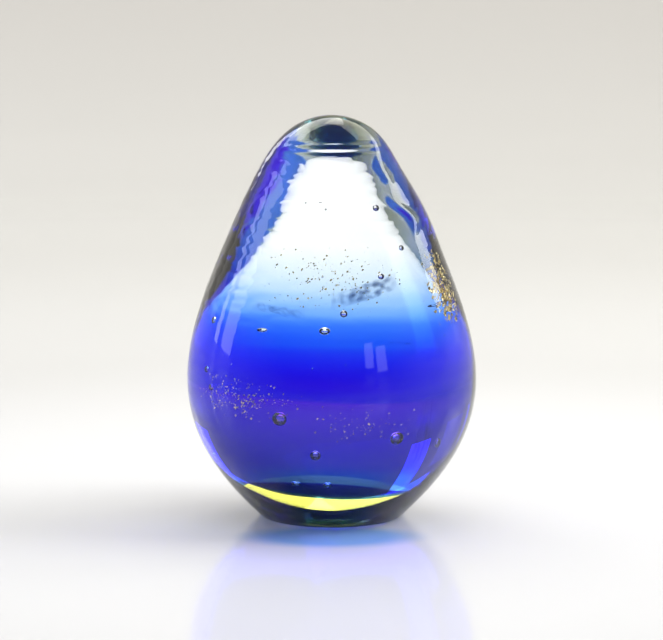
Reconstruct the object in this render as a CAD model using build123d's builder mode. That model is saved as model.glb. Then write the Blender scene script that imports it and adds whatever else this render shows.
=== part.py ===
from build123d import *
from math import atan2, cos, hypot, pi, radians, sin
import os

os.makedirs("parts", exist_ok=True)

# A hand-made solid glass paperweight: an egg standing on its flat foot.
# Millimetres; origin at the centre of the foot, +Z up the egg, front facing -Y.

# ---- egg outline -----------------------------------------------------------
HALF_LENGTH = 41.71        # half the length of the full egg curve, blunt end included
MID_HEIGHT = 33.33         # height of the middle of that curve above the foot
SWELL = (24.18, 1.17, -1.875, -1.61)   # sine terms of the radius along the egg
FOOT_ROUNDING = 1.2        # fire-polished edge of the flat foot
OUTLINE_POINTS = 13        # spline points along one side of an outline

# ---- casing and gather -----------------------------------------------------
CASING_WALL = 3.4          # clear glass over the coloured gather
FOOT_GLASS = 1.5           # clear glass under the gather
GATHER_TILT = 2.5          # lean of the gather inside the casing, degrees
TILT_PIVOT = 30.0          # height about which the gather leans

# ---- colour layers, heights measured up the gather -------------------------
AMBER_TOP = 10.5           # top of the yellow pad, on the axis
AMBER_LEAN = 2.0           # how much further than the gather that top leans right, degrees
AMBER_SLANT = 12.0         # rise of that top from front to back, degrees
COBALT_WALL = 1.0          # wall of the deep blue cup
COBALT_FLOOR = 0.8         # floor of the deep blue cup
HOLLOW_BOTTOM = 5.0        # where the inside of the cup is drawn from, below its floor
COBALT_RIM = 20.0          # where cobalt gives way to sky blue
SKY_RIM = 38.0             # feathered top edge of the colour
INDIGO_BOTTOM = 14.0       # violet-blue lining, lower edge
INDIGO_RIM = 25.5          # violet-blue lining, upper edge
INDIGO_WALL = 0.7          # greatest thickness of the lining
INDIGO_BACK = 0.2          # depth in the cup wall from which the lining is drawn
INDIGO_BELLY_LOW = 16.0    # heights between which the lining is thickest
INDIGO_BELLY_HIGH = 22.5
FEATHER = ((27.0, 1.0), (32.0, 0.5))   # thinning wall of the sky band at two heights
RIM_OVERRUN = 1.5          # how far the inside of the wall is drawn past the rim

# ---- inclusions ------------------------------------------------------------
LEAF_INSET = 3.25          # depth of the gold leaf below the outer surface
LEAF_THICKNESS = 0.16      # leaf together with the glass that clings to it
WISP_INSET = 2.75          # depth of the smoky wisps
WISP_THICKNESS = 0.3
BUBBLE_SKIN = 0.5          # least glass between a bubble and the open air
GOLDEN_ANGLE = 2.39996     # turn between one scattered flake and the next, radians

# Bubbles trapped in the casing: azimuth, height up the egg and radius. Azimuth
# -90 is straight to the front and 0 is to the right.
CASING_BUBBLES = (
    (-59.0, 59.0, 0.60),
    (-48.0, 51.8, 0.50),
    (-64.5, 47.2, 0.55),
    (-84.5, 41.0, 0.65),
    (-93.0, 38.0, 0.80),
    (-121.5, 37.7, 0.60),
    (-152.0, 38.2, 0.60),
    (-150.0, 29.5, 0.55),
    (-146.0, 26.5, 0.55),
    (-111.5, 22.3, 1.15),
    (-97.0, 15.7, 0.95),
    (-108.0, 10.0, 0.70),
    (-92.0, 9.8, 0.70),
    (-61.5, 18.5, 1.15),
    (-38.0, 16.5, 0.60),
    (-158.0, 13.5, 0.55),
)


def egg_curve(t, inset=0.0):
    """Radius and height of the egg's side at t (pi at the apex), moved inwards by inset."""
    radius = sum(swell * sin((k + 1) * t) for k, swell in enumerate(SWELL))
    height = MID_HEIGHT - HALF_LENGTH * cos(t)
    d_radius = sum(swell * (k + 1) * cos((k + 1) * t) for k, swell in enumerate(SWELL))
    d_height = HALF_LENGTH * sin(t)
    length = hypot(d_radius, d_height)
    return radius - inset * d_height / length, height + inset * d_radius / length


def curve_at_height(height, inset=0.0):
    """Parameter of the curve where it reaches the given height, by bisection."""
    low, high = 0.05, pi
    for _ in range(60):
        middle = (low + high) / 2
        if egg_curve(middle, inset)[1] < height:
            low = middle
        else:
            high = middle
    return low


def side_points(bottom, top, inset, count):
    """Points up the side between two heights; top None runs to the apex."""
    start = curve_at_height(bottom, inset)
    end = pi if top is None else curve_at_height(top, inset)
    points = [egg_curve(start + (end - start) * k / (count - 1), inset) for k in range(count)]
    if top is None:
        points[-1] = (0.0, points[-1][1])
    return points


def leaned(plane):
    """The same plane after the gather has leaned to the right about its pivot."""
    lean = Pos(0, 0, TILT_PIVOT) * Rot(0, GATHER_TILT, 0) * Pos(0, 0, -TILT_PIVOT)
    return Plane(lean * plane.location)


GATHER = leaned(Plane.XZ)
GATHER_AXIS = Axis(GATHER.origin, GATHER.y_dir)
AMBER_PLANE = leaned(Plane(Pos(0, 0, AMBER_TOP) * Rot(AMBER_SLANT, AMBER_LEAN, 0)))
FLOOR_PLANE = AMBER_PLANE.offset(COBALT_FLOOR)
COBALT_PLANE = leaned(Plane(Pos(0, 0, COBALT_RIM)))
SKY_PLANE = leaned(Plane(Pos(0, 0, SKY_RIM + RIM_OVERRUN)))


def egg_face(bottom, top, inset):
    """Half section of an egg-shaped body between two heights, drawn out from the axis."""
    side = side_points(bottom, top, inset, OUTLINE_POINTS)
    start = (side[1][0] - side[0][0], side[1][1] - side[0][1])
    with BuildSketch() as face:
        with BuildLine():
            if top is None:
                Spline(*side, tangents=[start, (-1, 0)])
            else:
                Spline(*side)
                Line(side[-1], (0, side[-1][1]))
            Line((0, side[-1][1]), (0, side[0][1]))
            Line((0, side[0][1]), side[0])
        make_face()
    return face.sketch_local


def surface_frame(azimuth, height, inset):
    """Upright-frame plane lying on the inset egg surface, its z pointing out of the glass."""
    t = curve_at_height(height, inset)
    radius, level = egg_curve(t, inset)
    ahead = egg_curve(t + 0.01, inset)
    slope = atan2(ahead[1] - level, ahead[0] - radius)
    turn = radians(azimuth)
    return Plane(
        origin=(radius * cos(turn), radius * sin(turn), level),
        x_dir=(-sin(turn), cos(turn), 0),
        z_dir=(sin(slope) * cos(turn), sin(slope) * sin(turn), -cos(slope)),
    )


def leaf_faces(azimuth, height, azimuth_spread, height_spread, count, size):
    """Outlines of torn five-sided flakes scattered over a patch of the gather."""
    faces = []
    for k in range(count):
        reach = ((k + 0.5) / count) ** 0.5
        frame = surface_frame(
            azimuth + azimuth_spread * reach * cos(GOLDEN_ANGLE * k),
            height + height_spread * reach * sin(GOLDEN_ANGLE * k),
            LEAF_INSET,
        )
        half = size * (0.6 + 0.4 * abs(sin(1.7 * k + 0.4))) / 2
        corners = []
        for c in range(5):
            around = 2 * pi * c / 5 + k
            tear = half * (0.78 + 0.22 * sin(2.1 * k + 3.0 * c))
            corners.append((tear * cos(around), tear * sin(around)))
        with BuildSketch(leaned(frame)) as flake:
            with BuildLine():
                Polyline(*corners, close=True)
            make_face()
        faces.append(flake.sketch)
    return faces


def wisp_section(azimuth, height, arc, length):
    """Thin lens-shaped section through one edge of a wisp, standing on the gather."""
    outer = side_points(height - length / 2, height + length / 2, WISP_INSET, 5)
    bulge = WISP_INSET + WISP_THICKNESS
    middle = egg_curve(curve_at_height(height, bulge), bulge)
    turn = radians(azimuth - arc / 2)
    upright = Plane(
        origin=(0, 0, 0),
        x_dir=(cos(turn), sin(turn), 0),
        z_dir=(sin(turn), -cos(turn), 0),
    )
    with BuildSketch(leaned(upright)) as section:
        with BuildLine():
            Spline(*outer)
            Spline(outer[-1], middle, outer[0])
        make_face()
    return section.sketch


# ---- the whole gather, divided between the pieces below --------------------
with BuildPart() as gather:
    with BuildSketch(GATHER):
        add(egg_face(FOOT_GLASS, None, CASING_WALL))
    revolve(axis=GATHER_AXIS)

# ---- the clear space inside the cup: full wall low down, feathered to the rim
with BuildPart() as cup_hollow:
    wall_inside = side_points(HOLLOW_BOTTOM, COBALT_RIM, CASING_WALL + COBALT_WALL, 6)
    for height, wall in (*FEATHER, (SKY_RIM, 0.0), (SKY_RIM + 3, -0.3)):
        depth = CASING_WALL + wall
        wall_inside.append(egg_curve(curve_at_height(height, depth), depth))
    hollow_floor, hollow_top = wall_inside[0][1], wall_inside[-1][1]
    with BuildSketch(GATHER):
        with BuildLine():
            Spline(*wall_inside)
            Line(wall_inside[-1], (0, hollow_top))
            Line((0, hollow_top), (0, hollow_floor))
            Line((0, hollow_floor), wall_inside[0])
        make_face()
    revolve(axis=GATHER_AXIS)
    split(bisect_by=FLOOR_PLANE, keep=Keep.TOP)

# ---- amber_base: yellow pad under the blue ---------------------------------
with BuildPart() as amber_base:
    add(gather.part)
    split(bisect_by=AMBER_PLANE, keep=Keep.BOTTOM)

# ---- cobalt_cup: deep blue cup standing on the amber pad -------------------
with BuildPart() as cobalt_cup:
    add(gather.part)
    split(bisect_by=AMBER_PLANE, keep=Keep.TOP)
    split(bisect_by=COBALT_PLANE, keep=Keep.BOTTOM)
    add(cup_hollow.part, mode=Mode.SUBTRACT)

# ---- sky_band: paler ring above the cup, feathered out at its top ----------
with BuildPart() as sky_band:
    add(gather.part)
    split(bisect_by=COBALT_PLANE, keep=Keep.TOP)
    split(bisect_by=SKY_PLANE, keep=Keep.BOTTOM)
    add(cup_hollow.part, mode=Mode.SUBTRACT)

# ---- indigo_band: violet-blue lining on the inside of cup and sky band -----
with BuildPart() as indigo_band:
    lining_depth = CASING_WALL + COBALT_WALL + INDIGO_WALL
    buried = side_points(INDIGO_BOTTOM, INDIGO_RIM, CASING_WALL + INDIGO_BACK, 5)
    belly_low = egg_curve(curve_at_height(INDIGO_BELLY_LOW, lining_depth), lining_depth)
    belly_high = egg_curve(curve_at_height(INDIGO_BELLY_HIGH, lining_depth), lining_depth)
    with BuildSketch(GATHER):
        with BuildLine():
            Spline(*buried)
            Spline(buried[-1], belly_high, belly_low, buried[0])
        make_face()
    revolve(axis=GATHER_AXIS)
    add(cup_hollow.part, mode=Mode.INTERSECT)

# ---- clear_core: the rest of the gather, inside and above the colour -------
with BuildPart() as clear_core:
    add(gather.part)
    split(bisect_by=AMBER_PLANE, keep=Keep.TOP)
    for layer in (cobalt_cup, sky_band, indigo_band):
        add(layer.part, mode=Mode.SUBTRACT)

# ---- gold leaf, four torn patches lying on the gather ----------------------
with BuildPart() as gold_leaf_right:
    for flake in leaf_faces(azimuth=-20, height=44, azimuth_spread=10, height_spread=5.5, count=12, size=1.5):
        extrude(flake, amount=LEAF_THICKNESS)

with BuildPart() as gold_leaf_front:
    for flake in leaf_faces(azimuth=-88, height=46.5, azimuth_spread=44, height_spread=5, count=14, size=1.0):
        extrude(flake, amount=LEAF_THICKNESS)

with BuildPart() as gold_leaf_left:
    for flake in leaf_faces(azimuth=-134, height=25, azimuth_spread=26, height_spread=3.2, count=12, size=0.9):
        extrude(flake, amount=LEAF_THICKNESS)

with BuildPart() as gold_leaf_centre:
    for flake in leaf_faces(azimuth=-74, height=21.5, azimuth_spread=22, height_spread=3.4, count=8, size=0.9):
        extrude(flake, amount=LEAF_THICKNESS)

# ---- smoky wisps just over the gather --------------------------------------
with BuildPart() as smoke_wisp_right:
    revolve(wisp_section(azimuth=-72, height=44.5, arc=34, length=2.8), axis=GATHER_AXIS, revolution_arc=34)

with BuildPart() as smoke_wisp_left:
    revolve(wisp_section(azimuth=-118, height=40.5, arc=28, length=1.6), axis=GATHER_AXIS, revolution_arc=28)

with BuildPart() as smoke_streak:
    revolve(wisp_section(azimuth=-44, height=19, arc=10, length=13), axis=GATHER_AXIS, revolution_arc=10)

# ---- outer_casing: clear egg around everything, with bubbles trapped in it -
with BuildPart() as outer_casing:
    with BuildSketch(Plane.XZ):
        add(egg_face(0.0, None, 0.0))
    revolve(axis=Axis.Z)
    fillet(outer_casing.edges().group_by(Axis.Z)[0], FOOT_ROUNDING)
    add(gather.part, mode=Mode.SUBTRACT)
    for inclusion in (
        gold_leaf_right,
        gold_leaf_front,
        gold_leaf_left,
        gold_leaf_centre,
        smoke_wisp_right,
        smoke_wisp_left,
        smoke_streak,
    ):
        add(inclusion.part, mode=Mode.SUBTRACT)
    for azimuth, height, bubble_radius in CASING_BUBBLES:
        centre = surface_frame(azimuth, height, BUBBLE_SKIN + bubble_radius).origin
        with Locations(centre):
            Sphere(bubble_radius, mode=Mode.SUBTRACT)

# ---- labels and export -----------------------------------------------------
outer_casing.part.label = "outer_casing"
clear_core.part.label = "clear_core"
sky_band.part.label = "sky_band"
indigo_band.part.label = "indigo_band"
cobalt_cup.part.label = "cobalt_cup"
amber_base.part.label = "amber_base"
gold_leaf_right.part.label = "gold_leaf_right"
gold_leaf_front.part.label = "gold_leaf_front"
gold_leaf_left.part.label = "gold_leaf_left"
gold_leaf_centre.part.label = "gold_leaf_centre"
smoke_wisp_right.part.label = "smoke_wisp_right"
smoke_wisp_left.part.label = "smoke_wisp_left"
smoke_streak.part.label = "smoke_streak"

export_step(outer_casing.part, "parts/outer_casing.step")
export_step(clear_core.part, "parts/clear_core.step")
export_step(sky_band.part, "parts/sky_band.step")
export_step(indigo_band.part, "parts/indigo_band.step")
export_step(cobalt_cup.part, "parts/cobalt_cup.step")
export_step(amber_base.part, "parts/amber_base.step")
export_step(gold_leaf_right.part, "parts/gold_leaf_right.step")
export_step(gold_leaf_front.part, "parts/gold_leaf_front.step")
export_step(gold_leaf_left.part, "parts/gold_leaf_left.step")
export_step(gold_leaf_centre.part, "parts/gold_leaf_centre.step")
export_step(smoke_wisp_right.part, "parts/smoke_wisp_right.step")
export_step(smoke_wisp_left.part, "parts/smoke_wisp_left.step")
export_step(smoke_streak.part, "parts/smoke_streak.step")
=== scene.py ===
import math
import random

import bpy
import numpy as np
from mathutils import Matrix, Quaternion, Vector, noise


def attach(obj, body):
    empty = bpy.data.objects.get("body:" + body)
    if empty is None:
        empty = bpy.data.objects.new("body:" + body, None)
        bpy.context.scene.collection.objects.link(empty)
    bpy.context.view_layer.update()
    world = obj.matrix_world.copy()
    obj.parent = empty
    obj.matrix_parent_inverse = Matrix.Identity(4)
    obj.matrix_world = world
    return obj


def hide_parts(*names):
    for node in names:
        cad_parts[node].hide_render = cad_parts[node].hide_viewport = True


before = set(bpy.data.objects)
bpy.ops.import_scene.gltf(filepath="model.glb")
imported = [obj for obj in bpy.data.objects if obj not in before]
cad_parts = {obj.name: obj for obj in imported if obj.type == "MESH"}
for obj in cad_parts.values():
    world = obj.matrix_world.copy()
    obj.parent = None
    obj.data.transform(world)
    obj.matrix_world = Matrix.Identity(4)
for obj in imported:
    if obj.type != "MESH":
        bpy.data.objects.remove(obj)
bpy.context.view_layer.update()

MM = 0.001                     # the scene is in metres, the sizes below in millimetres

# ---- the egg, as in the CAD ------------------------------------------------
HALF_LENGTH = 41.71            # half length of the full egg curve
MID_HEIGHT = 33.33             # height of its middle above the foot
SWELL = (24.18, 1.17, -1.875, -1.61)    # sine terms of the radius
HEIGHT = MID_HEIGHT + HALF_LENGTH
FOOT_ROUNDING = 1.2            # fire-polished edge of the foot
CASING_WALL = 3.4              # clear glass over the coloured gather
GATHER_TILT = math.radians(2.5)         # lean of the colour to the right
TILT_PIVOT = 30.0
AMBER_TOP = 10.5               # top of the yellow pad on the axis
AMBER_LEAN = math.tan(math.radians(2.0))    # its further fall to the right
AMBER_SLANT = math.tan(math.radians(12.0))  # its rise from front to back
TURNS = 360                    # mesh columns round the outer surface
LAYER_TURNS = 240              # and round each layer inside it

GLASS_IOR = 1.5
MATCHED = 1.0                  # index step between two fused layers of the same glass
CASING_GLOSS = 0.27            # strength of the casing's reflections, where 0.5 is full
WHITE = (1.0, 1.0, 1.0, 1.0)


# ---- small maths helpers ---------------------------------------------------
def smooth(low, high, x):
    """0 below low, 1 above high, smooth between."""
    t = min(1.0, max(0.0, (x - low) / (high - low)))
    return t * t * (3.0 - 2.0 * t)


def bell(x, centre, half_width):
    """1 at the centre, falling smoothly to nothing a few half widths away."""
    return math.exp(-(((x - centre) / half_width) ** 2))


def ripple(x, y, z, size, seed):
    """Smooth noise from -1 to 1 with features about size across."""
    return noise.noise(Vector((x / size + seed * 7.3, y / size - seed * 3.1, z / size + seed)))


def curve_table():
    """Height, radius and outward slope of the egg outline, sampled finely from blunt end to apex."""
    t = np.linspace(0.02, math.pi, 1600)
    radius = sum(s * np.sin((k + 1) * t) for k, s in enumerate(SWELL))
    height = MID_HEIGHT - HALF_LENGTH * np.cos(t)
    d_radius = sum(s * (k + 1) * np.cos((k + 1) * t) for k, s in enumerate(SWELL))
    d_height = HALF_LENGTH * np.sin(t)
    length = np.hypot(d_radius, d_height)
    return height, radius, d_height / length, -d_radius / length


CURVE = curve_table()


def inset_radius(height, inset):
    """Radius of the egg outline moved inwards by inset, at a height."""
    levels = CURVE[0] - inset * CURVE[3]
    radii = CURVE[1] - inset * CURVE[2]
    return float(np.interp(height, levels, radii))


def lean(point):
    """Lean a point of the gather to the right about the pivot height."""
    x, y, z = point
    c, s = math.cos(GATHER_TILT), math.sin(GATHER_TILT)
    return (x * c + (z - TILT_PIVOT) * s, y, TILT_PIVOT + (z - TILT_PIVOT) * c - x * s)


def ring_mesh(name, rings, closed_loop=False, inward=False):
    """Mesh object from rings of points in millimetres; a ring of one point is a pole."""
    verts, starts = [], []
    for ring in rings:
        starts.append(len(verts))
        verts.extend(ring)
    faces = []
    pairs = [(i, i + 1) for i in range(len(rings) - 1)]
    if closed_loop:
        pairs.append((len(rings) - 1, 0))
    for low, high in pairs:
        a, b = starts[low], starts[high]
        na, nb = len(rings[low]), len(rings[high])
        for k in range(max(na, nb)):
            k2 = (k + 1) % max(na, nb)
            if na == 1:
                face = (a, b + k2, b + k)
            elif nb == 1:
                face = (a + k, a + k2, b)
            else:
                face = (a + k, a + k2, b + k2, b + k)
            faces.append(tuple(reversed(face)) if inward else face)
    return mesh_object(name, verts, faces)


def mesh_object(name, verts, faces, flat=False):
    """Smooth-shaded mesh object from points in millimetres."""
    mesh = bpy.data.meshes.new(name)
    mesh.from_pydata([(x * MM, y * MM, z * MM) for x, y, z in verts], [], faces)
    mesh.validate()
    mesh.polygons.foreach_set("use_smooth", [not flat] * len(mesh.polygons))
    piece = bpy.data.objects.new(name, mesh)
    bpy.context.scene.collection.objects.link(piece)
    return piece


def joined(name, pieces):
    """One object from several."""
    bpy.ops.object.select_all(action="DESELECT")
    for piece in pieces:
        piece.select_set(True)
    bpy.context.view_layer.objects.active = pieces[0]
    bpy.ops.object.join()
    pieces[0].name = name
    return pieces[0]


def azimuths(count):
    """Evenly spaced azimuths once round, in radians."""
    return [2.0 * math.pi * k / count for k in range(count)]


# ---- materials -------------------------------------------------------------
def principled(name, **sockets):
    """New material with values set straight on its Principled shader."""
    material = bpy.data.materials.new(name)
    material.use_nodes = True
    shader = material.node_tree.nodes["Principled BSDF"]
    for socket, value in sockets.items():
        shader.inputs[socket.replace("_", " ")].default_value = value
    return material, material.node_tree, shader


def coloured_glass(name, absorbed, step=MATCHED, gloss=0.5):
    """Glass that takes away so much red, green and blue per millimetre of path."""
    material, tree, _ = principled(
        name, Base_Color=WHITE, IOR=step, Specular_IOR_Level=gloss, Roughness=0.0,
        Transmission_Weight=1.0,
    )
    strongest = max(absorbed)
    volume = tree.nodes.new("ShaderNodeVolumeAbsorption")
    volume.inputs["Color"].default_value = (*(1.0 - a / strongest for a in absorbed), 1.0)
    volume.inputs["Density"].default_value = strongest / MM
    output = tree.nodes["Material Output"]
    tree.links.new(volume.outputs["Volume"], output.inputs["Volume"])
    return material


casing_glass = coloured_glass(
    "clear_casing_glass", (0.0016, 0.0008, 0.0006), GLASS_IOR, CASING_GLOSS
)
core_glass = coloured_glass("clear_core_glass", (0.0012, 0.0006, 0.0004))
sky_glass = coloured_glass("sky_blue_glass", (3.0, 1.5, 0.02))
indigo_glass = coloured_glass("indigo_glass", (1.5, 5.8, 0.06))
cobalt_glass = coloured_glass("cobalt_glass", (2.5, 1.4, 0.08))
amber_glass = coloured_glass("yellow_glass", (0.010, 0.009, 0.06))
smoke_glass = coloured_glass("smoky_glass", (4.5, 4.0, 3.0))


def gold_material():
    """Crinkled gold leaf: bright metal with fine creases."""
    material, tree, shader = principled(
        "gold_leaf", Base_Color=(1.0, 0.85, 0.40, 1.0), Metallic=1.0, Roughness=0.28
    )
    creases = tree.nodes.new("ShaderNodeTexNoise")
    creases.inputs["Scale"].default_value = 2600.0
    creases.inputs["Detail"].default_value = 3.0
    bump = tree.nodes.new("ShaderNodeBump")
    bump.inputs["Strength"].default_value = 0.6
    bump.inputs["Distance"].default_value = 0.05 * MM
    place = tree.nodes.new("ShaderNodeTexCoord")
    tree.links.new(place.outputs["Object"], creases.inputs["Vector"])
    tree.links.new(creases.outputs["Fac"], bump.inputs["Height"])
    tree.links.new(bump.outputs["Normal"], shader.inputs["Normal"])
    return material


gold = gold_material()


def finish_piece(piece, material, node):
    """Give a piece its material, attach it to the root body and hide the CAD node that it stands
    for.
    """
    piece.data.materials.clear()
    piece.data.materials.append(material)
    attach(piece, "root")
    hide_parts(node)


# ---- outer casing ----------------------------------------------------------
# Hand shaping, in millimetres
SHOULDER = (                   # height, half width and outward move on the right shoulder
    (66.0, 4.6, -0.55),
    (55.5, 5.5, 0.35),
)
WORKED_FROM, WORKED_TO = 34.0, 44.0    # the tool's creases fade in between these heights
CREASE_DEPTH = 0.055           # sharp creases, fine ripples and broad ripples
FINE_DEPTH = 0.012
BROAD_DEPTH = 0.05
WAVE_DEPTH = 0.05              # slow waves over the whole egg
CROWN_GROOVES = (69.0, 70.2)   # heights of two tool marks across the front of the crown
GROOVE_DEPTH = 0.22
GROOVE_HALF_WIDTH = 0.36
FOLD_AZIMUTH = math.radians(-40.0)     # a fold of glass that wanders up the crown
FOLD_RISE = 0.26
FOLD_HALF_WIDTH = 1.5
GULLY_DEPTH = 0.06             # and the shallow hollow along its left side
GULLY_OFFSET = -3.0
GULLY_HALF_WIDTH = 1.6


def out_of_round(azimuth, height):
    """The egg isn't quite round, and its right shoulder is pressed in over a slight swelling."""
    swell = 0.10 * math.sin(2 * azimuth + 0.9) + 0.06 * math.sin(3 * azimuth + height / 11.0)
    right = max(0.0, math.cos(azimuth)) ** 2
    for at, half_width, outwards in SHOULDER:
        swell += outwards * right * bell(height, at, half_width)
    return swell


def tool_marks(azimuth, height):
    """Creases round the upper part, strongest on the left, and the grooves on the crown."""
    x, y = 16.0 * math.cos(azimuth), 16.0 * math.sin(azimuth)
    worked = smooth(WORKED_FROM, WORKED_TO, height)
    worked *= 0.2 + 0.8 * smooth(0.1, 0.8, -math.cos(azimuth))
    # the noise is drawn out sideways, so the marks run round the egg
    crease = 1.0 - 2.0 * abs(ripple(x * 0.6, y * 0.6, height, 2.6, 3.0))
    marks = CREASE_DEPTH * crease ** 3 * worked
    marks += FINE_DEPTH * ripple(x * 0.4, y * 0.4, height, 1.1, 5.0) * worked
    marks += BROAD_DEPTH * ripple(x * 0.5, y * 0.5, height, 6.0, 9.0) * worked
    front = max(0.0, -math.sin(azimuth)) ** 3
    for groove in CROWN_GROOVES:
        marks -= GROOVE_DEPTH * front * bell(height, groove, GROOVE_HALF_WIDTH)
    return marks


def crown_fold(azimuth, height):
    """The fold on the right front of the crown, with the hollow beside it."""
    fold_at = FOLD_AZIMUTH + 0.10 * math.sin(height / 2.7) + 0.05 * math.sin(height / 1.1)
    off = (azimuth - fold_at + math.pi) % (2 * math.pi) - math.pi
    off *= max(2.0, inset_radius(height, 0.0)) if height < HEIGHT - 0.2 else 2.0
    fold = FOLD_RISE * bell(off, 0.0, FOLD_HALF_WIDTH)
    fold -= GULLY_DEPTH * bell(off, GULLY_OFFSET, GULLY_HALF_WIDTH)
    return fold * smooth(49.0, 58.0, height) * (1.0 - smooth(72.0, 74.6, height))


def hand_shaping(azimuth, height):
    """How far hand shaping moved the surface outwards, in millimetres."""
    wave = WAVE_DEPTH * ripple(30 * math.cos(azimuth), 30 * math.sin(azimuth), height, 13.0, 1.0)
    keep = smooth(0.0, 6.0, height) * (1.0 - smooth(HEIGHT - 2.5, HEIGHT, height))
    shaped = out_of_round(azimuth, height) + tool_marks(azimuth, height) + wave
    return shaped * keep + crown_fold(azimuth, height)


FOOT_RINGS = (0.0, 3.0, 6.0, 9.0)      # radii of the mesh rings under the foot
FOOT_EDGE_STEPS = 8
SIDE_RINGS = 330


def casing_profile():
    """(radius, height) down the middle of the foot, round its edge and up to the apex."""
    corner = inset_radius(0.0, 0.0)
    slope = math.atan2(1.0, inset_radius(1.0, 0.0) - corner)
    reach = FOOT_ROUNDING * math.tan(slope / 2.0)
    profile = [(r, 0.0) for r in (*FOOT_RINGS, corner - reach - FOOT_ROUNDING / 2.0)]
    for k in range(FOOT_EDGE_STEPS + 1):
        turn = slope * k / FOOT_EDGE_STEPS
        profile.append((
            corner - reach + FOOT_ROUNDING * math.sin(turn),
            FOOT_ROUNDING * (1.0 - math.cos(turn)),
        ))
    first = math.acos((MID_HEIGHT - profile[-1][1]) / HALF_LENGTH)
    for k in range(1, SIDE_RINGS):
        t = first + (math.pi - first) * k / SIDE_RINGS
        radius = sum(s * math.sin((n + 1) * t) for n, s in enumerate(SWELL))
        profile.append((radius, MID_HEIGHT - HALF_LENGTH * math.cos(t)))
    profile.append((0.0, HEIGHT))
    return profile


def casing_skin():
    """The outer surface, shaped by hand except at the middle of the foot and the very top."""
    rings = []
    for radius, height in casing_profile():
        if radius < 1e-6:
            rings.append([(0.0, 0.0, height)])
            continue
        ring = []
        for azimuth in azimuths(TURNS):
            r = radius + hand_shaping(azimuth, height) * min(1.0, radius / 4.0)
            ring.append((r * math.cos(azimuth), r * math.sin(azimuth), height))
        rings.append(ring)
    return ring_mesh("casing_skin", rings)


# azimuth in degrees, height, radius and flatness of each bubble
BUBBLES = (
    (-59.0, 59.0, 0.60, 1.0),
    (-48.0, 51.8, 0.50, 1.0),
    (-64.5, 47.2, 0.55, 1.0),
    (-84.5, 41.0, 0.65, 1.0),
    (-93.0, 38.0, 0.95, 0.7),
    (-121.5, 37.7, 0.95, 0.35),
    (-152.0, 38.2, 0.60, 1.0),
    (-150.0, 29.5, 0.55, 1.0),
    (-146.0, 26.5, 0.55, 1.0),
    (-111.5, 22.3, 1.25, 1.0),
    (-97.0, 15.7, 0.95, 1.0),
    (-108.0, 10.0, 0.85, 0.6),
    (-92.0, 9.8, 0.75, 0.9),
    (-61.5, 18.5, 1.20, 1.0),
    (-38.0, 16.5, 0.60, 1.5),
    (-158.0, 13.5, 0.55, 1.0),
)
BUBBLE_SKIN = 0.5              # least glass between a bubble and the air
BUBBLE_STRETCH = 1.12          # most that a bubble is drawn out sideways
BUBBLE_TURNS = 32
SEED_BUBBLES = 46              # pinhead bubbles scattered all round
SEED_HEIGHTS = (12, 62)
SEED_DEPTHS = (0.6, 2.2)
SEED_RADII = (0.07, 0.20)
SEED_TURNS = 12


def on_surface(azimuth, height, inset):
    """Point at a depth below the outer surface."""
    t = math.radians(azimuth)
    radius = inset_radius(height, inset)
    return Vector((radius * math.cos(t), radius * math.sin(t), height))


def bubble(centre, radius, stretch, flat, segments):
    """A void: a small sphere whose faces look into it, drawn out a little sideways."""
    out = Vector((centre.x, centre.y, 0.0)).normalized()
    side = Vector((-out.y, out.x, 0.0))
    rings = []
    rows = segments // 2
    for j in range(rows + 1):
        polar = math.pi * j / rows
        if j in (0, rows):
            rings.append([tuple(centre - Vector((0, 0, radius * flat * math.cos(polar))))])
            continue
        ring = []
        for azimuth in azimuths(segments):
            p = centre + out * (radius * math.sin(polar) * math.cos(azimuth))
            p += side * (radius * stretch * math.sin(polar) * math.sin(azimuth))
            p.z -= radius * flat * math.cos(polar)
            ring.append(tuple(p))
        rings.append(ring)
    return ring_mesh("bubble", rings, inward=True)


def build_casing():
    """Outer surface and bubbles as one object."""
    rng = random.Random(11)
    parts = [casing_skin()]
    for azimuth, height, radius, flat in BUBBLES:
        centre = on_surface(azimuth, height, radius + BUBBLE_SKIN)
        stretch = rng.uniform(1.0, BUBBLE_STRETCH)
        parts.append(bubble(centre, radius, stretch, flat, BUBBLE_TURNS))
    for _ in range(SEED_BUBBLES):
        azimuth, height = rng.uniform(0, 360), rng.uniform(*SEED_HEIGHTS)
        centre = on_surface(azimuth, height, rng.uniform(*SEED_DEPTHS))
        parts.append(bubble(centre, rng.uniform(*SEED_RADII), 1.0, 1.0, SEED_TURNS))
    return joined("outer_casing_glass", parts)


finish_piece(build_casing(), casing_glass, "outer_casing")


# ---- colour layers ---------------------------------------------------------
# (height up the gather, thickness) of each layer, in millimetres
SKY_WALL = ((25.1, 0.0), (25.4, 0.5), (27.0, 0.5), (29.0, 0.5), (31.0, 0.42), (33.0, 0.35),
            (35.0, 0.20), (38.0, 0.08), (44.0, 0.0))
SKY_BACK_WALL = ((21.5, 0.0), (24.2, 0.85), (25.8, 1.25), (27.5, 1.3), (29.0, 1.0), (31.0, 0.52),
                 (33.0, 0.35), (35.0, 0.20), (38.0, 0.08), (44.0, 0.0))
INDIGO_WALL = ((11.8, 0.0), (13.2, 0.12), (16.0, 0.14), (18.7, 0.22), (22.0, 0.25), (24.9, 0.26),
               (25.2, 0.62), (27.0, 0.52), (29.0, 0.2), (31.0, 0.0))
INDIGO_BACK_WALL = ((15.3, 0.0), (16.5, 0.18), (18.0, 0.35), (19.6, 0.55), (21.1, 0.7), (22.5, 0.65),
                    (24.2, 0.4), (25.8, 0.15), (27.0, 0.0))
COBALT_WALL = ((6.0, 0.7), (15.0, 0.7), (17.0, 0.6), (19.0, 0.5), (22.0, 0.3), (25.1, 0.12),
               (25.4, 0.0))
COBALT_FLOOR = 0.9             # floor of the cup in the middle
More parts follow.
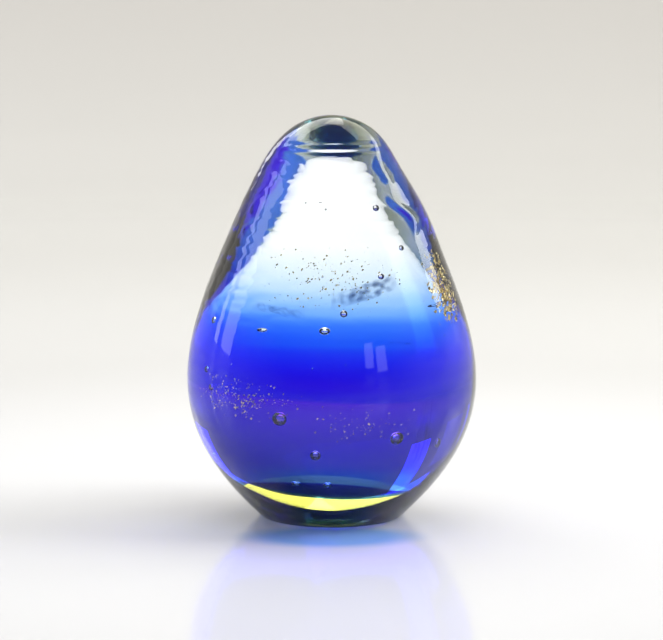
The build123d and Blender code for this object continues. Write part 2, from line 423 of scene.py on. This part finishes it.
COBALT_FLOOR_EDGE = 0.03       # and where it meets the wall
GAP = 0.012                    # fused layers are drawn this far apart
THINNEST = 0.004               # a faded layer is never thinner than this
CUP_INSIDE = CASING_WALL + 0.7         # inset at which the cup's inner wall meets its floor
CORE_INSIDE = CASING_WALL + 0.75       # and the core's foot, just clear of it
PAD_BOTTOM = 1.5               # clear glass under the yellow pad
CUP_RIM = 25.5
CORE_CLEARANCE = 0.02          # between the top of the core and the casing's inner wall
CRISP_BELOW = 27.0             # the lower front edge of the sky blue is crisp, the rest feathered
SKY_BAND = (12.0, 44.0)        # heights between which each band is drawn
INDIGO_BAND = (11.0, 31.0)
UNDERSIDE_SHARES = (0.3, 0.6, 0.85)    # mesh rings between the axis and the wall


def wall(table, height):
    """Thickness that a table gives at a height."""
    levels, thickness = zip(*table)
    return float(np.interp(height, levels, thickness))


def front_share(azimuth):
    """1 at the front of the egg, 0 at the back."""
    return smooth(-0.25, 0.35, -math.sin(azimuth))


def streaks(azimuth, height, seed):
    """Uneven laying of the colour: long soft streaks round the gather."""
    x, y = 8.0 * math.cos(azimuth), 8.0 * math.sin(azimuth)
    return ripple(x, y, height * 2.2, 7.0, seed) + 0.4 * ripple(x, y, height * 3.0, 2.6, seed + 5)


def sky_wall(azimuth, height):
    """Thickness of the sky-blue band, feathered unevenly at its upper edge."""
    shifted = height + 0.9 * streaks(azimuth, 0.0, 2.0) + 0.5 * streaks(azimuth, height, 4.0)
    edge = height + 0.22 * streaks(azimuth, 0.0, 9.0)
    at_front = wall(SKY_WALL, edge if height < CRISP_BELOW else shifted)
    front = front_share(azimuth)
    even = front * at_front + (1.0 - front) * wall(SKY_BACK_WALL, shifted)
    return even * (1.0 + 0.10 * streaks(azimuth, height, 6.0))


def indigo_wall(azimuth, height):
    """Thickness of the violet-blue lining, which is thinner low down at the sides."""
    shifted = height + 0.22 * streaks(azimuth, 0.0, 9.0)
    front = front_share(azimuth)
    even = front * wall(INDIGO_WALL, shifted) + (1.0 - front) * wall(INDIGO_BACK_WALL, shifted)
    even *= 1.0 - 0.95 * math.cos(azimuth) ** 2 * (1.0 - smooth(15.0, 18.0, height))
    return even * (1.0 + 0.12 * streaks(azimuth, height, 10.0))


def cobalt_wall(azimuth, height):
    """Thickness of the cup's wall."""
    return wall(COBALT_WALL, height) * (1.0 + 0.08 * streaks(azimuth, height, 12.0))


def amber_level(x, y):
    """Height of the slanted top of the yellow pad."""
    return AMBER_TOP - x * AMBER_LEAN + y * AMBER_SLANT


def cup_floor(share):
    """Thickness of the cup's floor, part of the way from the axis to the wall."""
    return COBALT_FLOOR_EDGE + (COBALT_FLOOR - COBALT_FLOOR_EDGE) * (1.0 - smooth(0.3, 0.6, share))


def layer_point(azimuth, height, inset):
    """Point of the leaning gather at an inset from the egg's outline."""
    radius = inset_radius(height, inset)
    return lean((radius * math.cos(azimuth), radius * math.sin(azimuth), height))


def edge_height(azimuth, above, inset):
    """Height at which a plane over the pad's slanted top meets the inset wall."""
    height = AMBER_TOP
    for _ in range(12):
        radius = inset_radius(height, inset)
        height = above + amber_level(radius * math.cos(azimuth), radius * math.sin(azimuth))
    return height


def slanted_disc(azimuth, share, above, inset):
    """Point on a plane over the pad's top, part of the way from the axis to the wall."""
    radius = share * inset_radius(edge_height(azimuth, above, inset), inset)
    x, y = radius * math.cos(azimuth), radius * math.sin(azimuth)
    return lean((x, y, above + amber_level(x, y)))


def band(name, reach, rows, outer_inset, thickness):
    """A closed ring of glass: outer face up, inner face down."""
    low, high = reach
    around = azimuths(LAYER_TURNS)
    heights = [low + (high - low) * k / rows for k in range(rows + 1)]
    rings = []
    for height in heights:
        rings.append([layer_point(a, height, outer_inset(a, height)) for a in around])
    for height in reversed(heights):
        rings.append([
            layer_point(a, height, outer_inset(a, height) + max(THINNEST, thickness(a, height)))
            for a in around
        ])
    return ring_mesh(name, rings, closed_loop=True)


def sky_face(azimuth, height):
    """Inset of the sky-blue band's outer face: it lies against the casing."""
    return CASING_WALL


def cobalt_face(azimuth, height):
    """Inset of the cup's outer face, inside the sky-blue band."""
    return CASING_WALL + max(0.0, sky_wall(azimuth, height)) + GAP


def indigo_face(azimuth, height):
    """Inset of the lining's outer face, inside the cup."""
    return cobalt_face(azimuth, height) + max(0.0, cobalt_wall(azimuth, height)) + GAP


def core_face(azimuth, height):
    """Inset of the clear core's side, inside the lining."""
    return indigo_face(azimuth, height) + max(0.0, indigo_wall(azimuth, height)) + GAP


FLOOR_SHARES = (0.2, 0.3, 0.36, 0.42, 0.48, 0.54, 0.6, 0.8)    # rings of the cup's floor


def cup(name, rows):
    """The cobalt cup: slanted underside, outer wall, rim, inner wall and floor."""
    around = azimuths(LAYER_TURNS)
    rings = [[lean((0.0, 0.0, AMBER_TOP + GAP))]]
    for share in UNDERSIDE_SHARES:
        rings.append([slanted_disc(a, share, GAP, CASING_WALL) for a in around])
    feet = [edge_height(a, GAP, CASING_WALL) for a in around]
    for k in range(rows + 1):
        ring = []
        for a, low in zip(around, feet):
            height = low + (CUP_RIM - low) * k / rows
            ring.append(layer_point(a, height, cobalt_face(a, height)))
        rings.append(ring)
    feet = [edge_height(a, cup_floor(1.0), CUP_INSIDE) for a in around]
    for k in reversed(range(rows + 1)):
        ring = []
        for a, low in zip(around, feet):
            height = low + (CUP_RIM - low) * k / rows
            depth = cobalt_face(a, height) + max(THINNEST, cobalt_wall(a, height))
            ring.append(layer_point(a, height, depth))
        rings.append(ring)
    for share in reversed(FLOOR_SHARES):
        rings.append([slanted_disc(a, share, cup_floor(share), CUP_INSIDE) for a in around])
    rings.append([lean((0.0, 0.0, AMBER_TOP + cup_floor(0.0)))])
    return ring_mesh(name, rings)


def pad(name, rows):
    """The yellow pad: the foot of the gather, cut off by its slanted top."""
    around = azimuths(LAYER_TURNS)
    rings = [[lean((0.0, 0.0, PAD_BOTTOM))]]
    tops = [edge_height(a, 0.0, CASING_WALL) for a in around]
    for k in range(rows + 1):
        ring = []
        for a, top in zip(around, tops):
            height = PAD_BOTTOM + (top - PAD_BOTTOM) * k / rows
            ring.append(layer_point(a, height, CASING_WALL))
        rings.append(ring)
    for share in reversed(UNDERSIDE_SHARES):
        rings.append([slanted_disc(a, share, 0.0, CASING_WALL) for a in around])
    rings.append([lean((0.0, 0.0, AMBER_TOP))])
    return ring_mesh(name, rings)


def core(name, rows):
    """Clear gather: fills the lined cup and carries on up to its own rounded top."""
    top = HEIGHT - CASING_WALL - CORE_CLEARANCE
    around = azimuths(LAYER_TURNS)
    clear = 2 * GAP
    rings = [[lean((0.0, 0.0, AMBER_TOP + cup_floor(0.0) + clear))]]
    for share in FLOOR_SHARES:
        above = cup_floor(share) + clear
        rings.append([slanted_disc(a, share, above, CORE_INSIDE) for a in around])
    feet = [edge_height(a, cup_floor(1.0) + clear, CORE_INSIDE) for a in around]
    for k in range(rows):
        ring = []
        for a, low in zip(around, feet):
            height = low + (top - low) * math.sin(0.5 * math.pi * k / rows)
            ring.append(layer_point(a, height, core_face(a, height)))
        rings.append(ring)
    rings.append([lean((0.0, 0.0, top))])
    return ring_mesh(name, rings)


finish_piece(
    band("sky_blue_band", SKY_BAND, 110, sky_face, sky_wall), sky_glass, "sky_band"
)
finish_piece(cup("cobalt_blue_cup", 40), cobalt_glass, "cobalt_cup")
finish_piece(
    band("indigo_blue_band", INDIGO_BAND, 150, indigo_face, indigo_wall),
    indigo_glass, "indigo_band",
)
finish_piece(pad("yellow_pad", 20), amber_glass, "amber_base")
finish_piece(core("clear_gather_core", 120), core_glass, "clear_core")


# ---- gold leaf -------------------------------------------------------------
LEAF_LIFT = 0.42               # how unevenly the flakes lie
LEAF_INSET = 3.15              # greatest depth of a flake
LEAF_FLOAT = 0.5               # and how far above that it may lie
LEAF_HALF_THICKNESS = 0.012


def flake(verts, faces, centre, normal, size, rng):
    """Add one torn, crinkled flake of leaf to a list of points and faces."""
    across = normal.orthogonal().normalized()
    along = normal.cross(across)
    corners = rng.randint(6, 9)
    turn = rng.uniform(0, 2 * math.pi)
    tilt = rng.uniform(-0.25, 0.25)
    first = len(verts)
    rim = []
    for c in range(corners):
        angle = turn + 2 * math.pi * c / corners
        reach = size * rng.uniform(0.45, 1.0)
        crinkle = size * (tilt * math.cos(angle) + rng.uniform(-0.16, 0.16))
        rim.append(
            centre + across * (reach * math.cos(angle)) + along * (reach * 0.7 * math.sin(angle))
            + normal * crinkle
        )
    thin = normal * LEAF_HALF_THICKNESS
    verts.append(tuple(centre + thin + normal * (size * rng.uniform(-0.12, 0.12))))
    verts.extend(tuple(p + thin) for p in rim)
    verts.append(tuple(centre - thin))
    verts.extend(tuple(p - thin) for p in rim)
    under = first + corners + 1
    for c in range(corners):
        d = (c + 1) % corners
        faces.append((first, first + 1 + c, first + 1 + d))
        faces.append((under, under + 1 + d, under + 1 + c))
        faces.append((first + 1 + c, under + 1 + c, under + 1 + d, first + 1 + d))


def gathered_leaf(name, node, seed, count, azimuth, height, spread, rise, sizes):
    """A patch of torn flakes in the casing, just over the gather."""
    rng = random.Random(seed)
    small, large = sizes
    verts, faces = [], []
    for _ in range(count):
        a = math.radians(azimuth + spread * rng.triangular(-1.3, 1.3))
        h = height + rise * rng.triangular(-1.3, 1.3)
        depth = LEAF_INSET - rng.uniform(0.0, LEAF_FLOAT)
        radius = inset_radius(h, depth)
        centre = Vector(lean((radius * math.cos(a), radius * math.sin(a), h)))
        lift = Vector((rng.gauss(0.0, 1.0), rng.gauss(0.0, 1.0), rng.gauss(0.0, 1.0)))
        normal = (Vector((math.cos(a), math.sin(a), 0.25)) + lift * LEAF_LIFT).normalized()
        flake(verts, faces, centre, normal, small + (large - small) * rng.random() ** 2, rng)
    piece = mesh_object(name, verts, faces, flat=True)
    finish_piece(piece, gold, node)


gathered_leaf("gold_leaf_patch_right", "gold_leaf_right", 3, 420, -21, 44.0, 11, 5.4, (0.2, 0.9))
gathered_leaf("gold_leaf_specks_front", "gold_leaf_front", 5, 240, -88, 46.2, 34, 4.8, (0.08, 0.36))
gathered_leaf("gold_leaf_specks_left", "gold_leaf_left", 7, 260, -132, 24.6, 24, 3.0, (0.12, 0.32))
gathered_leaf("gold_leaf_specks_centre", "gold_leaf_centre", 9, 80, -74, 21.5, 20, 3.0, (0.12, 0.30))


# ---- smoky wisps -----------------------------------------------------------
WISP_INSET = 2.9
WISP_COLUMNS, WISP_ROWS = 40, 14


def wisp(name, node, azimuth, height, arc, length, thick, slope, seed):
    """Thin cloudy sheet following the gather, thickest in the middle and ragged at the edge."""
    columns, rows = WISP_COLUMNS, WISP_ROWS
    outer, inner = [], []
    for i in range(columns + 1):
        u = 2.0 * i / columns - 1.0
        a = math.radians(azimuth + u * arc / 2.0)
        for j in range(rows + 1):
            v = 2.0 * j / rows - 1.0
            h = height + v * length / 2.0 * (1.0 + 0.3 * ripple(u * 3, 0, 0, 0.8, seed)) + slope * u
            body = max(0.0, 1.0 - u * u) * max(0.0, 1.0 - v * v)
            cloud = 0.5 + 1.2 * ripple(u * 2.6, v * 0.9 + u * 1.4, seed, 0.5, seed)
            half = THINNEST + 0.5 * thick * body * max(0.05, cloud)
            for inset, side in ((WISP_INSET - half, outer), (WISP_INSET + half, inner)):
                radius = inset_radius(h, inset)
                side.append(lean((radius * math.cos(a), radius * math.sin(a), h)))
    verts = outer + inner
    faces = []
    stride, back = rows + 1, len(outer)
    for i in range(columns):
        for j in range(rows):
            a, b = i * stride + j, (i + 1) * stride + j
            faces.append((a, b, b + 1, a + 1))
            faces.append((back + a, back + a + 1, back + b + 1, back + b))
    for i in range(columns):
        a, b = i * stride, (i + 1) * stride
        faces.append((a, back + a, back + b, b))
        a, b = a + rows, b + rows
        faces.append((a, b, back + b, back + a))
    for j in range(rows):
        faces.append((j, j + 1, back + j + 1, back + j))
        a = columns * stride + j
        faces.append((a, back + a, back + a + 1, a + 1))
    finish_piece(mesh_object(name, verts, faces), smoke_glass, node)


wisp("smoky_wisp_right", "smoke_wisp_right", -74, 44.5, 36, 3.0, 0.42, 1.9, 2.0)
wisp("smoky_wisp_left", "smoke_wisp_left", -118, 40.5, 28, 1.6, 0.16, -0.3, 5.0)
wisp("smoky_streak", "smoke_streak", -44, 19.0, 10, 13.0, 0.10, 0.0, 8.0)


# ---- stage: pale glossy table running up into a backdrop -------------------
TABLE_DROP = 0.03              # the table lies this far under the foot, millimetres
TABLE_RADIUS = 520.0           # flat part of the table
BEND_RADIUS = 480.0            # curve from the table up into the wall
BEND_STEPS = 16
WALL_HEIGHT = 1500.0
STAGE_TURNS = 128
# painted light falloff: the table's colour is whitest by the egg and greyer with distance
TABLE_PAINTED_FALLOFF = (               # distance from the egg in metres, and the colour there
    (0.08, (0.88, 0.885, 0.91, 1.0)),
    (0.20, (0.72, 0.72, 0.72, 1.0)),
    (0.45, (0.60, 0.595, 0.58, 1.0)),
    (1.0, (0.54, 0.515, 0.49, 1.0)),
)
# painted shade: the table's colour is darkened towards the front of the room
ROOM_PAINTED_SHADE = (-0.25, -0.75)     # the table darkens to the front between these y, in metres
ROOM_PAINTED_DARKEST = 0.35
# painted light: a pool of blue light, in place of the egg's caustic, painted into the table's colour
# before the foot
POOL_AHEAD = 0.0205            # blue light pooled on the table before the foot, metres
POOL_WIDTH = 0.019
POOL_DEPTH = 0.0115
PAINTED_POOL_STRENGTH = 0.8
PAINTED_POOL_COLOUR = (0.20, 0.52, 0.90, 1.0)


def length_of(tree, vector):
    """Output that holds the length of a vector output."""
    node = tree.nodes.new("ShaderNodeVectorMath")
    node.operation = "LENGTH"
    tree.links.new(vector, node.inputs[0])
    return node.outputs["Value"]


def mapped(tree, value, start, end, at_start, at_end, curve="LINEAR"):
    """Output that goes from at_start to at_end as a value goes from start to end."""
    node = tree.nodes.new("ShaderNodeMapRange")
    node.interpolation_type = curve
    limits = {"From Min": start, "From Max": end, "To Min": at_start, "To Max": at_end}
    for socket, limit in limits.items():
        node.inputs[socket].default_value = limit
    tree.links.new(value, node.inputs["Value"])
    return node.outputs["Result"]


def painted_table_falloff(tree, place):
    """Painted light falloff and painted shade: white by the egg, greyer with distance and towards
    the front of the room.
    """
    shade = tree.nodes.new("ShaderNodeValToRGB")
    ramp = shade.color_ramp
    ramp.interpolation = "EASE"
    ends = (ramp.elements[0], ramp.elements[1])
    for element, (position, colour) in zip(ends, (TABLE_PAINTED_FALLOFF[0], TABLE_PAINTED_FALLOFF[-1])):
        element.position = position
        element.color = colour
    for position, colour in TABLE_PAINTED_FALLOFF[1:-1]:
        ramp.elements.new(position).color = colour
    tree.links.new(length_of(tree, place), shade.inputs["Fac"])
    split = tree.nodes.new("ShaderNodeSeparateXYZ")
    tree.links.new(place, split.inputs[0])
    dim = tree.nodes.new("ShaderNodeVectorMath")
    dim.operation = "SCALE"
    tree.links.new(shade.outputs["Color"], dim.inputs[0])
    # painted shade: the colour is darkened towards the front of the room
    room = mapped(tree, split.outputs["Y"], *ROOM_PAINTED_SHADE, 1.0, ROOM_PAINTED_DARKEST)
    tree.links.new(room, dim.inputs["Scale"])
    return dim.outputs["Vector"]


def painted_pool_share(tree, place):
    """1 in the oval of painted blue light before the foot, fading to 0 at its edge."""
    pool = tree.nodes.new("ShaderNodeMapping")
    pool.inputs["Location"].default_value = (0.0, POOL_AHEAD / POOL_DEPTH, 0.0)
    pool.inputs["Scale"].default_value = (1.0 / POOL_WIDTH, 1.0 / POOL_DEPTH, 0.0)
    tree.links.new(place, pool.inputs["Vector"])
    reach = length_of(tree, pool.outputs["Vector"])
    return mapped(tree, reach, 1.0, 0.5, 0.0, PAINTED_POOL_STRENGTH, "SMOOTHSTEP")


def table_material():
    """Pale glossy table, with painted light falloff and shade and a painted pool of the blue light
    that the egg throws at its foot.
    """
    material, tree, shader = principled("pale_table", Roughness=0.12, Specular_IOR_Level=0.5)
    place = tree.nodes.new("ShaderNodeTexCoord").outputs["Object"]
    painted_pool_mix = tree.nodes.new("ShaderNodeMix")
    painted_pool_mix.data_type = "RGBA"
    factor, plain, pool = (painted_pool_mix.inputs[k] for k in (0, 6, 7))    # its colour sockets
    # painted pool of blue light mixed into the table's colour
    tree.links.new(painted_pool_share(tree, place), factor)
    tree.links.new(painted_table_falloff(tree, place), plain)
    pool.default_value = PAINTED_POOL_COLOUR
    tree.links.new(painted_pool_mix.outputs[2], shader.inputs["Base Color"])
    return material


def backdrop():
    """Table and curved wall in one sheet, round the egg."""
    profile = [(r, -TABLE_DROP) for r in (60.0, 160.0, 320.0, TABLE_RADIUS)]
    for k in range(1, BEND_STEPS + 1):
        turn = 0.5 * math.pi * k / BEND_STEPS
        profile.append((
            TABLE_RADIUS + BEND_RADIUS * math.sin(turn),
            BEND_RADIUS * (1.0 - math.cos(turn)),
        ))
    profile.append((TABLE_RADIUS + BEND_RADIUS, WALL_HEIGHT))
    around = azimuths(STAGE_TURNS)
    rings = [[(0.0, 0.0, -TABLE_DROP)]]
    for radius, height in profile:
        rings.append([(radius * math.cos(a), radius * math.sin(a), height) for a in around])
    sheet = ring_mesh("table_and_backdrop", rings)
    sheet.data.materials.append(table_material())
    return sheet


LAMP_DISTANCE = 0.85           # of every lamp but the ceiling, metres
CEILING_DISTANCE = 1.1
LAMP_AIM = 0.035               # height on the egg that the lamps face


def softbox(name, azimuth, elevation, width, height, brightness, roll=0.0,
            colour=(1.0, 1.0, 1.0), distance=LAMP_DISTANCE):
    """Rectangular light facing the egg, as bright as a surface of that radiance."""
    light = bpy.data.lights.new(name, "AREA")
    light.shape = "RECTANGLE"
    light.size, light.size_y = width, height
    light.energy = brightness * math.pi * width * height
    light.color = colour
    lamp = bpy.data.objects.new(name, light)
    bpy.context.scene.collection.objects.link(lamp)
    a, e = math.radians(azimuth), math.radians(elevation)
    centre = Vector((0.0, 0.0, LAMP_AIM))
    offset = Vector((math.cos(e) * math.cos(a), math.cos(e) * math.sin(a), math.sin(e)))
    lamp.location = centre + offset * distance
    facing = (-offset).to_track_quat("-Z", "Y")
    lamp.rotation_euler = (facing @ Quaternion((0.0, 0.0, 1.0), math.radians(roll))).to_euler()
    lamp.visible_camera = False
    return lamp


overhead = (
    softbox("ceiling", 90, 88, 1.1, 1.1, 1.3, colour=(0.94, 0.975, 1.0),
            distance=CEILING_DISTANCE),
    softbox("sun_right", 2, 40, 0.36, 0.36, 9.0),
)
for lamp in overhead:
    lamp.visible_glossy = False
    lamp.visible_transmission = False
backdrop()
softbox("window_back_high_left", 112, 48, 0.75, 0.42, 2.4)
softbox("window_back_high_right", 60, 48, 0.70, 0.42, 2.0, colour=(1.0, 0.96, 0.75))
softbox("window_back_low_left", 119.5, 24, 0.13, 0.38, 2.5)
softbox("wall_glow_low", 97, 15, 0.50, 0.40, 0.05, roll=-36)
softbox("wall_glow_high", 104, 18, 0.54, 0.44, 0.05, roll=-30)
softbox("wall_glow_left", 141, 17, 0.25, 0.28, 0.30)
softbox("window_left", 176, 20, 0.20, 0.56, 2.1)
softbox("window_left_pane", 161, 16, 0.08, 0.50, 2.4)
softbox("window_right", 28, 30, 0.28, 0.50, 3.9)
softbox("front_pane_left", -60, 14, 0.10, 0.16, 1.5)
softbox("front_pane_right", -50, 8, 0.12, 0.28, 1.5)

world = bpy.data.worlds.new("room_light")
bpy.context.scene.world = world
world.use_nodes = True
world.node_tree.nodes["Background"].inputs["Color"].default_value = (0.97, 0.97, 1.0, 1.0)
world.node_tree.nodes["Background"].inputs["Strength"].default_value = 0.25

# ---- camera ----------------------------------------------------------------
CAMERA_DISTANCE = 0.60
CAMERA_ELEVATION = math.radians(8.0)
AIM_HEIGHT = 0.0368            # height on the egg at the middle of the picture
FRAME_WIDTH = 0.1235           # width of the picture at the egg, metres
camera = bpy.data.cameras.new("camera")
camera_object = bpy.data.objects.new("camera", camera)
bpy.context.scene.collection.objects.link(camera_object)
bpy.context.scene.camera = camera_object
aim = Vector((0.0, 0.0, AIM_HEIGHT))
camera_object.location = aim + CAMERA_DISTANCE * Vector(
    (0.0, -math.cos(CAMERA_ELEVATION), math.sin(CAMERA_ELEVATION))
)
camera_object.rotation_euler = (aim - camera_object.location).to_track_quat("-Z", "Y").to_euler()
camera.sensor_width = 36.0
camera.lens = camera.sensor_width * CAMERA_DISTANCE / FRAME_WIDTH
camera.clip_start = 0.01

# ---- light paths: many fused layers lie behind one another -----------------
cycles = bpy.context.scene.cycles
cycles.max_bounces = 40
cycles.transmission_bounces = 40
cycles.glossy_bounces = 12
cycles.transparent_max_bounces = 40
bpy.context.scene.view_settings.view_transform = "Standard"
